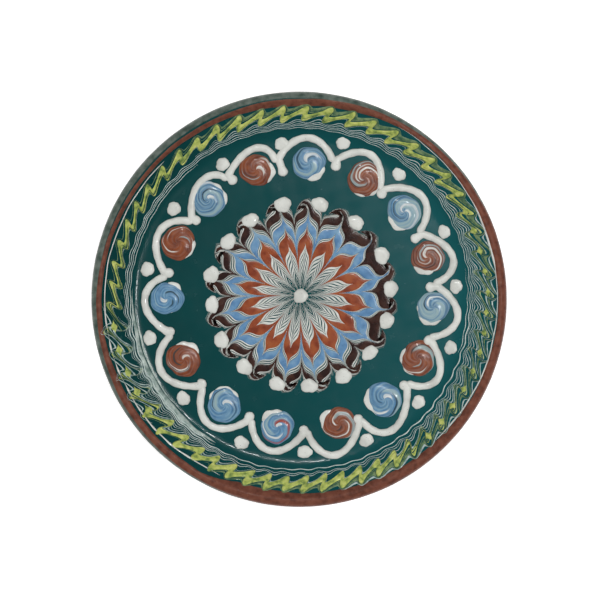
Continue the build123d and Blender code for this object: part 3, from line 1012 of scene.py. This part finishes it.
def boss(index, look):
    """A blob of white slip with coloured slip swirled over it."""
    slip, under_angle, under_shows, turned, streaks, bands = look
    node = f"boss_{index:02d}"
    x0, y0, half = box_middle(node)
    seed = index * 1.71
    turn = np.linspace(0, 2 * math.pi, BOSS_COLUMNS, endpoint=False)
    share = np.sin(np.linspace(0.012, 1, BOSS_RINGS) * math.pi / 2)[:, None]
    lumps = 1 + 0.045 * np.sin(2 * turn + seed) + 0.03 * np.sin(3 * turn + 2 * seed)
    lumps += 0.018 * np.sin(7 * turn + seed)
    u, v = share * np.cos(turn), share * np.sin(turn)
    x, y = x0 + half * lumps * u, y0 + half * lumps * v
    shares, angle = boss_colours(u, v, turned, streaks, bands, seed)
    furrow = np.sin(3 * np.radians(angle) + seed)
    height = BOSS_HIGH * (1 - share**3.2) ** 0.62 + 0.08 * furrow * share * (1 - share**4) * 1.6
    height += 0.08 * shares["white"] * (1 - share**6)
    made = piece(f"{node}_swirl", *dome_parts(x, y, height), SWIRLS[slip], node)
    add_colour(made, "swirl", shares["white"], shares["pale"], shares["dark"])
    add_colour(made, "patch", shares["rust"], shares["blue"])
    lean = math.radians(under_angle)
    offset = UNDER_OFFSET * under_shows
    under_x, under_y = x0 + offset * math.cos(lean), y0 + offset * math.sin(lean)
    under = blob(under_x, under_y, 0.95 * half, 0.86 * half, 0.95, under_angle, seed)
    joined_piece(f"{node}_white_under", [under], WHITE)


def bosses():
    for k, look in enumerate(BOSSES):
        boss(k + 1, look)


# ---- border on the flange

# Angles round the dish, and how many waves have passed there
WAVE_MARKS = (
    (1.0, 0), (46.0, 7), (94.5, 14), (143.0, 21), (181.0, 27), (203.0, 30), (236.0, 35), (277.0, 42),
    (324.0, 50), (361.0, 56),
)
# How tall the waves are, against WAVE_HALF, by angle
WAVE_TALL = (
    (0, 1.35), (22, 1.2), (32, 1.0), (60, 0.95), (90, 0.95), (125, 0.85), (150, 0.75), (180, 0.85),
    (188, 2.3), (204, 2.4), (216, 1.9), (226, 1.3), (245, 0.9), (300, 0.95), (312, 1.3), (325, 1.4),
)
WAVE_RADIUS = 93.9  # the wave's middle, before it is shifted
# How far the wave's middle lies off that radius, by angle
WAVE_SHIFT = (
    (0, -0.3), (30, 0.0), (60, -0.3), (95, -1.0), (120, -1.4), (150, -1.5), (180, -1.3), (190, -0.9),
    (240, -1.4), (275, -1.3), (310, -0.4),
)
WAVE_HALF = 2.15  # how far the wave swings to each side of its middle
WAVE_CREST = 0.22  # where the crest falls within one wave
WAVE_FALL = 0.76  # share of a wave that falls gently; the rest rises steeply
WAVE_LEAN = 1.15  # how far slip leans back for each mm outwards of the wave's middle
WAVE_LEAN_REACH = 5.6  # the lean fades out at about this distance
LEAN_CENTRE = 0.6  # slip this far outwards of the wave's middle doesn't lean either way
FOLLOW_FROM, FOLLOW_TO = -1.0, 2.6  # between these distances off the middle, slip follows the tine in full
FADE_INWARDS, FADE_OUTWARDS = 2.6, 2.0  # beyond them it follows half as far after these distances
RIPPLE_HALF = 0.75  # swing of the ripple inside the wave, against the wave's own
RIPPLE_CREST = 0.12  # where the ripple's crest falls, past the wave's
CURL = 0.3  # how far the lines curl to and fro along the flange
BORDER_COLUMNS = np.linspace(0, TURN, 2508, endpoint=False)


def wave_phase(angle):
    """How many waves lie between the first mark and an angle."""
    first = WAVE_MARKS[0][0]
    return np.interp(np.mod(angle - first, TURN) + first, *zip(*WAVE_MARKS))


def past_crest(angle):
    """How far each angle lies from the last crest, as a share of one wave."""
    return np.mod(wave_phase(angle) - WAVE_CREST, 1.0)


def combed(angle, radius):
    """Trailed lines on the flange, bent into leaning waves, and into a soft ripple inside them."""
    wave = wave_phase(angle)
    tall = between(WAVE_TALL, angle) * (1 + 0.13 * np.sin(2.3 * wave) + 0.08 * np.sin(5.1 * wave + 1))
    run = past_crest(angle)
    swing = np.cos(math.pi * np.where(run < WAVE_FALL, run / WAVE_FALL, 2 - (1 - run) / (1 - WAVE_FALL)))
    off = radius - WAVE_RADIUS
    below = np.clip(FOLLOW_FROM - off, 0, None)
    above = np.clip(off - FOLLOW_TO, 0, None)
    soft = np.clip((below - 0.6) / 2.0, 0, 1)
    swing = (1 - soft) * swing + soft * RIPPLE_HALF * np.cos(2 * math.pi * (run - RIPPLE_CREST))
    follow = 1 / (1 + (below / FADE_INWARDS) ** 2) / (1 + (above / FADE_OUTWARDS) ** 2)
    moved = WAVE_HALF * tall * follow * swing
    shift = between(WAVE_SHIFT, angle) / (1 + below / 2.0)
    curl = CURL * np.sin(2 * math.pi * run + 0.9 * off) * (tall - 0.6)
    height = off + moved - LEAN_CENTRE
    lean = WAVE_LEAN * (1 + 0.15 * np.sin(1.7 * wave))
    back = (1 - 0.7 * soft) * lean * height * np.exp(-((height / WAVE_LEAN_REACH) ** 2)) - curl
    return angle - np.degrees(back / WAVE_RADIUS), radius + moved + shift


def border_strip(middle, width, height, rows, columns, wrap, wander, seed, comb):
    """A trailed line on the flange. middle and width may change round the dish."""
    share = np.linspace(0, 1, rows)[:, None]
    width = np.broadcast_to(width, columns.shape)
    line = np.broadcast_to(middle, columns.shape) + hand_wobble(columns, wander, seed)
    angle, radius = np.broadcast_to(columns, (rows, len(columns))), line + (share - 0.5) * width
    if comb:
        angle, radius = combed(angle, radius)
    rise = np.minimum(height, 0.4 * width) * (1 - np.abs(2 * share - 1) ** 3) + 0.015
    top = on_skin(angle, along(radius), rise)
    base = on_skin(angle[[0, -1]], along(radius[[0, -1]]), -0.25 * np.ones((2, len(columns))))
    return top, base, wrap


def present(columns, width):
    """Runs of columns where a line's width is more than nothing."""
    there = width > 0.03
    if there.all():
        return [np.arange(len(columns))]
    starts = np.flatnonzero(there & ~np.roll(there, 1))
    runs = []
    for start in starts:
        length = int(np.argmin(np.roll(there, -start)))
        runs.append((start + np.arange(length)) % len(columns))
    return [r for r in runs if len(r) > 3]


def tooth_share(angle, wanted, place, spread):
    """Thins a line between its teeth, one at a place in each wave. wanted is 0 for even and 1 for blobs."""
    away = np.mod(past_crest(angle) - place + 0.5, 1.0) - 0.5
    bump = np.exp(-((away / spread) ** 2))
    return 1 + wanted * (1.25 * bump - 1)


def line_strips(
    middle, width_marks, height, rows=5, wander=0.12, seed=0.0, comb=True,
    teeth=None, tooth_at=0.04, spread=0.2,
):
    """The strips of a line that comes and goes round the flange."""
    width = between(width_marks, BORDER_COLUMNS)
    if teeth:
        width = width * tooth_share(BORDER_COLUMNS, between(teeth, BORDER_COLUMNS), tooth_at, spread)
    line = middle if np.isscalar(middle) else between(middle, BORDER_COLUMNS)
    line = np.broadcast_to(line, BORDER_COLUMNS.shape)
    strips = []
    for run in present(BORDER_COLUMNS, width):
        whole = len(run) == len(BORDER_COLUMNS)
        columns = BORDER_COLUMNS[run]
        columns = np.where(columns < columns[0], columns + TURN, columns)
        strips.append(border_strip(line[run], width[run], height, rows, columns, whole, wander, seed, comb))
    return strips


# How far the yellow breaks into teeth, by angle: 0 is an even line, and 1 leaves blobs alone
TEETH = (
    (0, 0.3), (22, 0.4), (34, 0.4), (60, 0.3), (130, 0.35), (180, 0.45), (187, 0.3), (214, 0.4), (222, 0.3),
    (235, 0.15), (290, 0.15), (304, 0.3), (312, 0.3),
)
ALONE = ((0, 1.0),)
# Lines trailed on the flange: distance off the wave's middle, and width by angle
YELLOW_LINES = (
    (1.0, (
        (0, 0.3), (22, 0.6), (34, 3.0), (60, 3.6), (125, 3.3), (140, 2.6), (180, 2.0), (187, 0.3),
        (210, 0.5), (218, 2.6), (225, 4.1), (270, 4.8), (300, 3.4), (312, 0.5), (326, 0.3),
    )),
    (-0.6, (
        (0, 0.25), (22, 0.4), (34, 1.1), (60, 1.2), (125, 1.2), (140, 0.7), (180, 0.5), (187, 0.2),
        (210, 0.3), (222, 1.3), (270, 1.6), (300, 1.2), (312, 0.3), (326, 0.25),
    )),
)
# Blobs of yellow caught among the waves, not combed: how wide they are across the flange by angle, their
# radius, their place in each wave, and how far they spread in it
POCKETS = (
    (((0, 1.8), (12, 2.2), (26, 3.4), (33, 0.0), (307, 0.0), (311, 3.6), (330, 2.4)), 94.9, 0.98, 0.12),
    (((0, 0.0), (182, 0.0), (186, 2.6), (216, 3.2), (222, 0.0)), 94.3, 0.78, 0.15),
)
# Dull green lines: distance off the wave's middle, and width by angle. They are partly real dull slip lines
# and partly painted shade: the line 3.9 outwards of the middle, from about 30 to 125 degrees, stands in for
# the shadow along the wave crests.
DULL_AND_SHADE_LINES = (
    (3.9, (
        (0, 0.4), (30, 1.3), (60, 1.5), (80, 1.2), (125, 0.5), (135, 0.0), (240, 0.0), (245, 0.5),
        (300, 1.2), (320, 0.5),
    )),
    (3.1, ((0, 0.4), (30, 0.5), (60, 0.4), (125, 0.3), (225, 0.3), (300, 0.4), (330, 0.4))),
    (0.15, ((0, 0.4), (30, 0.3), (125, 0.3), (140, 0.2), (212, 0.3), (300, 0.3), (330, 0.4))),
    (-1.35, (
        (0, 0.5), (30, 0.5), (60, 0.4), (125, 0.3), (180, 0.3), (212, 0.7), (235, 0.6), (300, 0.5),
        (330, 0.5),
    )),
)
PALE_LINES = (
    (4.9, (
        (0, 0.45), (26, 0.4), (34, 0.0), (183, 0.0), (188, 0.45), (215, 0.4), (222, 0.0), (283, 0.0),
        (287, 0.6), (312, 0.6), (330, 0.35),
    )),
    (3.1, (
        (0, 0.45), (26, 0.4), (34, 0.0), (184, 0.0), (190, 0.4), (216, 0.35), (222, 0.0), (308, 0.0),
        (316, 0.35),
    )),
    (0.8, (
        (0, 0.4), (26, 0.35), (34, 0.0), (184, 0.0), (190, 0.35), (216, 0.3), (222, 0.0), (308, 0.0),
        (316, 0.3),
    )),
    (-1.7, (
        (0, 0.45), (26, 0.4), (34, 0.14), (130, 0.14), (184, 0.2), (190, 0.5), (240, 0.4), (262, 0.25),
        (310, 0.4),
    )),
    (-2.5, (
        (0, 0.3), (26, 0.2), (34, 0.0), (184, 0.0), (190, 0.4), (240, 0.3), (262, 0.0), (310, 0.0),
        (318, 0.3),
    )),
)
FINE_LINES = (
    (-3.3, (
        (0, 0.2), (30, 0.22), (110, 0.22), (122, 0.0), (200, 0.0), (226, 0.12), (245, 0.0), (285, 0.0),
        (300, 0.2),
    )),
    (-4.2, (
        (0, 0.2), (30, 0.24), (112, 0.24), (128, 0.0), (196, 0.0), (222, 0.16), (238, 0.26), (262, 0.24),
        (300, 0.2),
    )),
    (-5.1, (
        (0, 0.2), (30, 0.22), (120, 0.24), (135, 0.26), (165, 0.24), (190, 0.12), (222, 0.2), (238, 0.3),
        (262, 0.2), (350, 0.2),
    )),
    (-6.0, (
        (0, 0.22), (120, 0.22), (180, 0.3), (190, 0.2), (222, 0.26), (238, 0.3), (250, 0.0), (345, 0.0),
        (355, 0.22),
    )),
    (-6.9, (
        (0, 0.22), (110, 0.22), (130, 0.26), (170, 0.26), (190, 0.5), (236, 0.45), (245, 0.35), (304, 0.45),
        (312, 0.55), (350, 0.5),
    )),
    (-8.1, (
        (0, 0.2), (12, 0.0), (126, 0.0), (132, 0.3), (176, 0.26), (190, 0.5), (236, 0.4), (240, 0.0),
        (340, 0.0), (346, 0.3), (355, 0.3),
    )),
)
# How far the edge line breaks into steps between the waves, by angle, then its width and its radius
EDGE_STEPS = ((0, 0.0), (184, 0.0), (189, 0.9), (206, 0.9), (214, 0.3), (240, 0.3), (250, 0.0))
OUTER_LINE = (
    (0, 0.3), (9, 0.35), (12, 1.0), (24, 0.8), (30, 0.3), (50, 0.22), (62, 0.0), (134, 0.0), (138, 0.35),
    (180, 0.45), (190, 0.7), (236, 0.8), (246, 0.0), (314, 0.0), (318, 0.6), (345, 0.5), (355, 0.35),
)
OUTER_LINE_RADIUS = (
    (0, 99.7), (10, 99.7), (25, 100.0), (60, 100.1), (134, 97.4), (150, 97.6), (180, 98.2), (190, 98.0),
    (205, 97.6), (222, 97.8), (240, 97.0), (315, 98.8), (330, 99.4), (345, 99.8),
)
# Thin white wash inside the waves: its radius, and its width by angle
WASH = (
    (84.6, ((0, 0.0), (176, 0.0), (190, 1.6), (204, 2.2), (228, 2.4), (237, 1.0), (240, 0.0))),
    (82.8, ((0, 0.0), (180, 0.0), (192, 0.9), (204, 1.0), (214, 0.7), (224, 0.0))),
    (86.3, ((0, 0.0), (200, 0.0), (208, 0.8), (228, 0.8), (236, 0.0))),
)


def flange_lines(name, lines, material, node, height=0.16, teeth=None):
    """Several trailed lines of one slip, all bent by the same waves."""
    strips = []
    for offset, widths in lines:
        strips += line_strips(WAVE_RADIUS + offset, widths, height, 5, 0.16, offset, teeth=teeth)
    return strips_piece(name, strips, material, *([node] if node else []))


def border():
    """The trailed and combed lines of the flange, one piece for each slip."""
    flange_lines("border_yellow_lines", YELLOW_LINES, YELLOW, "border_yellow_wave", 0.3, TEETH)
    pockets = []
    for heights, middle, place, spread in POCKETS:
        pockets += line_strips(middle, heights, 0.26, 7, 0.4, middle, False, ALONE, place, spread)
    strips_piece("border_yellow_blobs", pockets, YELLOW)
    # the dull lines, partly slip and partly painted shade along the wave crests
    flange_lines("border_dull_lines_and_crest_shade", DULL_AND_SHADE_LINES, DULL_SLIP_AND_SHADE, None)
    flange_lines("border_combed_lines", PALE_LINES, PALE, None)
    flange_lines("border_fine_lines", FINE_LINES, FINE, "border_white_lines")
    edge = line_strips(
        OUTER_LINE_RADIUS, OUTER_LINE, 0.12, wander=0.2, seed=0.9, comb=False,
        teeth=EDGE_STEPS, tooth_at=0.55,
    )
    strips_piece("border_edge_line", edge, WHITE, "border_outer_line")
    wash = [s for middle, widths in WASH for s in line_strips(middle, widths, 0.06, 5, 0.35, middle, False)]
    strips_piece("border_wash", wash, WASHED)


# ---- floor, lights and camera


def floor():
    """A wide pale floor under the plate."""
    bpy.ops.mesh.primitive_plane_add(size=6.0, location=(0, 0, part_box("clay_dish")[0].z))
    ground = bpy.context.object
    ground.name = "floor"
    material = bpy.data.materials.new("floor")
    material.use_nodes = True
    shader = material.node_tree.nodes["Principled BSDF"]
    set_inputs(shader, {"Base Color": (0.93, 0.93, 0.93, 1), "Roughness": 0.9, "Specular IOR Level": 0.0})
    set_inputs(shader, {"Emission Color": (1, 1, 1, 1), "Emission Strength": 0.55})
    ground.data.materials.append(material)


LAMPS = 8
LAMP_REACH = 1.15
LAMP_HEIGHT = 1.15
LAMP_SWAY = 0.18  # how far the lamps' heights differ
LAMP_POWER = 4.0
LAMP_SIZE = (0.16, 0.16)
GLINTS = 12
GLINT_GAP = 0.085  # between neighbours in their row
GLINT_SIDE = math.radians(42)  # the side of the plate where the row is
GLINT_REACH = 0.34
GLINT_HEIGHT = 1.35
GLINT_POWER = 0.24
GLINT_SIZE = (0.03, 0.045)


def area_light(name, place, size, power, glints=True):
    light = bpy.data.lights.new(name, "AREA")
    light.shape = "RECTANGLE"
    light.size, light.size_y = size
    light.energy = power
    lamp = bpy.data.objects.new(name, light)
    lamp.location = place
    lamp.rotation_euler = (Vector((0, 0, 0.01)) - Vector(place)).to_track_quat("-Z", "Y").to_euler()
    lamp.visible_glossy = glints
    lamp.visible_camera = False
    bpy.context.scene.collection.objects.link(lamp)


def lights():
    """A ring of soft lamps for even light, and a row of small ones for the haze and the glints."""
    world = bpy.data.worlds.new("studio")
    bpy.context.scene.world = world
    world.use_nodes = True
    set_inputs(world.node_tree.nodes["Background"], {"Color": (1, 1, 1, 1), "Strength": 0.02})
    for k in range(LAMPS):
        turn = 2 * math.pi * (k + 0.3) / LAMPS
        height = LAMP_HEIGHT + LAMP_SWAY * math.sin(2.4 * k)
        place = (LAMP_REACH * math.cos(turn), LAMP_REACH * math.sin(turn), height)
        area_light(f"lamp_{k + 1}", place, LAMP_SIZE, LAMP_POWER, glints=False)
    for k in range(GLINTS):
        along_row = GLINT_GAP * (k - (GLINTS - 1) / 2)
        x = GLINT_REACH * math.cos(GLINT_SIDE) - along_row * math.sin(GLINT_SIDE)
        y = GLINT_REACH * math.sin(GLINT_SIDE) + along_row * math.cos(GLINT_SIDE)
        area_light(f"glint_{k + 1}", (x, y, GLINT_HEIGHT), GLINT_SIZE, GLINT_POWER)


def camera():
    """Looking almost straight down, with a long lens."""
    distance = 1.3
    shown_width = 0.3028
    tilt = math.radians(2.6)
    lean = math.radians(135)
    aim = Vector((0.0002, -0.0001, RIM_TOP * MM - 0.0034))
    data = bpy.data.cameras.new("camera")
    data.sensor_width = 36
    data.lens = data.sensor_width * distance / shown_width
    made = bpy.data.objects.new("camera", data)
    back = Vector((math.sin(tilt) * math.cos(lean), math.sin(tilt) * math.sin(lean), math.cos(tilt)))
    made.location = aim + back * distance
    right = Vector((0, 1, 0)).cross(back).normalized()
    up = back.cross(right)
    made.rotation_mode = "QUATERNION"
    made.rotation_quaternion = Matrix((right, up, back)).transposed().to_quaternion()
    bpy.context.scene.collection.objects.link(made)
    bpy.context.scene.camera = made


# ---- all together

camera()
clay_dish()
coats()
rosette()
rosette_dots()
border_dots()
scallops()
bosses()
border()
floor()
lights()
bpy.context.scene.view_settings.view_transform = "Standard"
